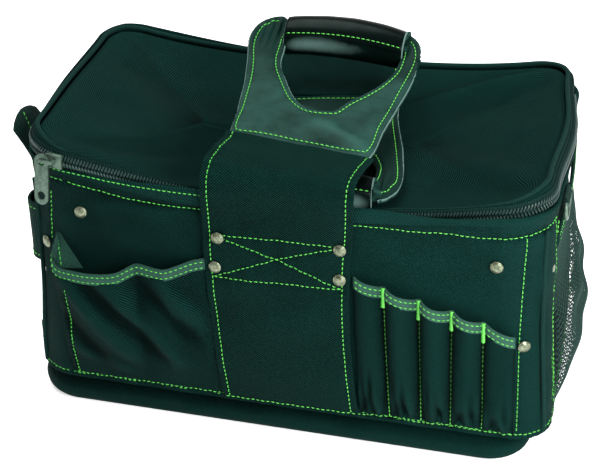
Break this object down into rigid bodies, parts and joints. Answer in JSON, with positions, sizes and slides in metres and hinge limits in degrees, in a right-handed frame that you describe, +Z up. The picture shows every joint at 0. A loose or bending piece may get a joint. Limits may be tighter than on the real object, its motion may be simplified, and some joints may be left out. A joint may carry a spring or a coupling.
{
  "type": "tool bag",
  "caption": "Box-shaped padded cloth tool bag with a zipped sagging lid, two strap handles with rolled grips, front tool pockets and a net side pocket.",
  "frame": {"origin": "middle of the base's underside, on the ground", "axes": "+X to the right seen from the front, -Y out of the front, +Z up"},
  "size_m": [0.4455, 0.2767, 0.2761],
  "materials": {
    "dark_cloth": "near-black twill",
    "leatherette": "smooth dark leatherette",
    "binding_tape": "grey ribbed tape",
    "webbing": "black webbing",
    "net": "dark net",
    "zip_nylon": "dark nylon coil",
    "slider_metal": "matte grey-green metal",
    "rivet_metal": "dull nickel domes"
  },
  "bodies": {
    "bag": {"body_walls": "dark_cloth", "base_tub": "dark_cloth", "lid_panel": "dark_cloth", "lid_band": "dark_cloth", "lid_piping": "dark_cloth", "lid_hinge": "dark_cloth", "zip_tape": "zip_nylon", "zip_slider": "slider_metal", "front_strap": "dark_cloth", "front_yoke": "leatherette", "front_grip": "leatherette", "rear_strap": "dark_cloth", "rear_yoke": "leatherette", "rear_grip": "leatherette", "left_pocket": "dark_cloth", "left_pocket_binding": "binding_tape", "tool_slots": "dark_cloth", "tool_slots_binding": "binding_tape", "mesh_pocket": "net", "mesh_hem": "dark_cloth", "rivet_front_strap_1": "rivet_metal", "rivet_front_strap_2": "rivet_metal", "rivet_front_strap_3": "rivet_metal", "rivet_front_strap_4": "rivet_metal", "rivet_rear_strap_1": "rivet_metal", "rivet_rear_strap_2": "rivet_metal", "rivet_rear_strap_3": "rivet_metal", "rivet_rear_strap_4": "rivet_metal", "rivet_upper_left": "rivet_metal", "rivet_pocket_corner": "rivet_metal", "rivet_upper_right": "rivet_metal", "rivet_slot_end": "rivet_metal", "rivet_side": "rivet_metal", "corner_piping_front_right": "dark_cloth", "corner_piping_back_right": "dark_cloth", "corner_piping_back_left": "dark_cloth", "corner_piping_front_left": "dark_cloth", "ring_tab": "webbing", "left_tab": "webbing", "hammer_loop": "webbing", "keeper_loop": "webbing"},
    "pull": {"zip_pull": "slider_metal"},
    "ring": {"side_ring": "slider_metal"}
  },
  "joints": [
    {"name": "zip_pull_swing", "type": "hinge", "parent": "bag", "child": "pull", "pos_m": [-0.18295, -0.1243, 0.23222], "axis": [0.2059, 0.963, -0.1736], "range_deg": [-25, 150]},
    {"name": "side_ring_swing", "type": "hinge", "parent": "bag", "child": "ring", "pos_m": [0.20883, -0.072, 0.213], "axis": [0, -1, 0], "range_deg": [0, 140]}
  ]
}
